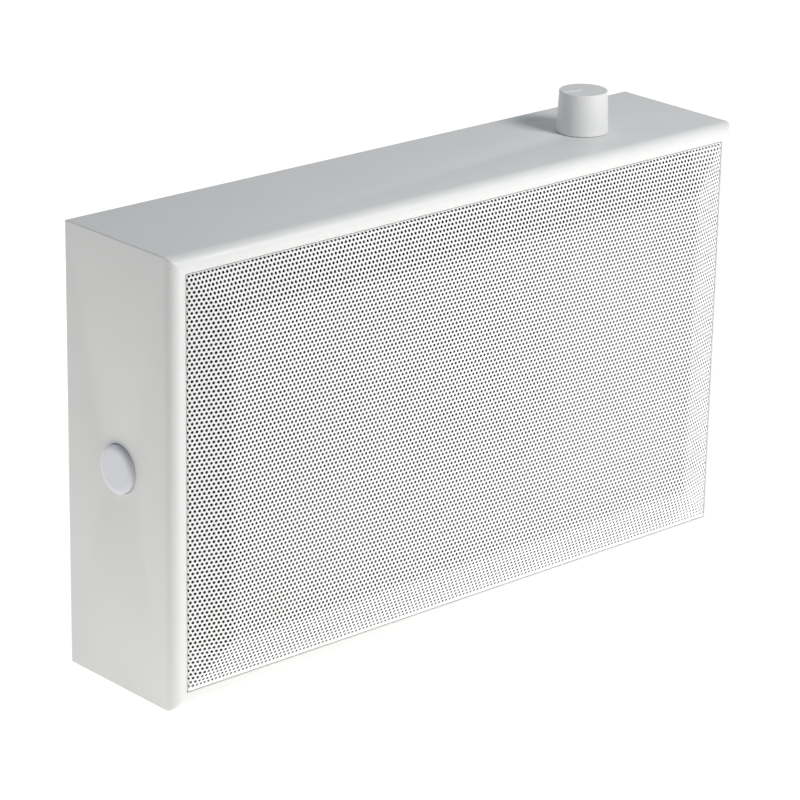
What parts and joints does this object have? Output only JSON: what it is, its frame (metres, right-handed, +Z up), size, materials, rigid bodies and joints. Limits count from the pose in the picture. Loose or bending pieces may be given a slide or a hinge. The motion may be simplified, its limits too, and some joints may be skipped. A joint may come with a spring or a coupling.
{
  "type": "wall speaker",
  "caption": "Flat white wall speaker box with a formed perforated metal front, a volume knob on top and a round push button on its left side.",
  "frame": {"origin": "centre of the cabinet's flat underside", "axes": "+Z up, +X to the right along the width, the perforated front faces -Y and the flat back faces +Y, towards the wall"},
  "size_m": [0.3889, 0.0897, 0.2576],
  "materials": {
    "white_paint": "smooth satin paint on board",
    "grille_paint": "satin powder coat on perforated steel",
    "knob_plastic": "matt moulded plastic",
    "pointer_white": "glossy white inlay",
    "button_plastic": "satin moulded plastic, cool white",
    "black_paint": "matt black paint on board",
    "board": "bare fibreboard",
    "zinc": "bright zinc plate",
    "lamination": "stacked steel sheet, dull",
    "frame_black": "black coated pressed steel",
    "ferrite": "dull ferrite",
    "brass": "plain brass",
    "copper": "enamelled copper wire",
    "former_film": "amber film",
    "cone_paper": "pressed paper pulp",
    "treated_cloth": "treated woven cloth",
    "wadding": "soft polyester wadding",
    "dark_plastic": "matt moulded plastic",
    "cream_plastic": "matt moulded plastic",
    "winding_tape": "yellow winding tape over a moulded bobbin",
    "rubber": "matt rubber"
  },
  "bodies": {
    "cabinet": {"cabinet_top": "white_paint", "cabinet_bottom": "white_paint", "cabinet_left": "white_paint", "cabinet_right": "white_paint", "corner_blocks": "board", "baffle": "black_paint", "rear_panel": "board", "rear_screws": "zinc", "damping_pad": "wadding", "grille": "grille_paint", "grille_brackets": "zinc", "bracket_screws": "zinc", "speaker_frame": "frame_black", "speaker_gasket": "cone_paper", "cone_surround": "cone_paper", "spider": "treated_cloth", "front_pole_plate": "zinc", "ring_magnet": "ferrite", "back_pole_plate": "zinc", "speaker_screws": "zinc", "speaker_terminals": "board", "volume_control": "dark_plastic", "control_washer": "zinc", "control_nut": "brass", "button_spring": "zinc", "button_housing": "dark_plastic", "housing_screws": "zinc", "push_switch": "dark_plastic", "transformer_core": "lamination", "transformer_winding": "winding_tape", "transformer_strap": "zinc", "transformer_screws": "zinc", "terminal_tray": "dark_plastic", "tray_screws": "zinc", "terminal_block": "cream_plastic", "terminal_screws": "brass", "cable_grommet": "rubber", "keyhole_plates": "zinc", "plate_screws": "zinc"},
    "knob": {"volume_knob": "knob_plastic", "knob_pointer": "pointer_white", "volume_shaft": "zinc"},
    "button": {"side_button": "button_plastic", "switch_plunger": "button_plastic"},
    "cone": {"speaker_cone": "cone_paper", "whizzer_cone": "cone_paper", "dust_cap": "cone_paper", "coil_former": "former_film", "coil_winding": "copper"}
  },
  "joints": [
    {"name": "knob_turn", "type": "hinge", "parent": "cabinet", "child": "knob", "pos_m": [0.1172, -0.0017, 0.235], "axis": [0, 0, 1], "range_deg": [-230, 70]},
    {"name": "button_press", "type": "slide", "parent": "cabinet", "child": "button", "axis": [1, 0, 0], "range_m": [0, 0.002], "stiffness_N_per_m": 900, "springref_m": -0.002, "deforming": ["button_spring"]},
    {"name": "cone_move", "type": "slide", "parent": "cabinet", "child": "cone", "axis": [0, -1, 0], "range_m": [-0.0015, 0.0015], "stiffness_N_per_m": 2500, "deforming": ["cone_surround", "spider"]}
  ]
}
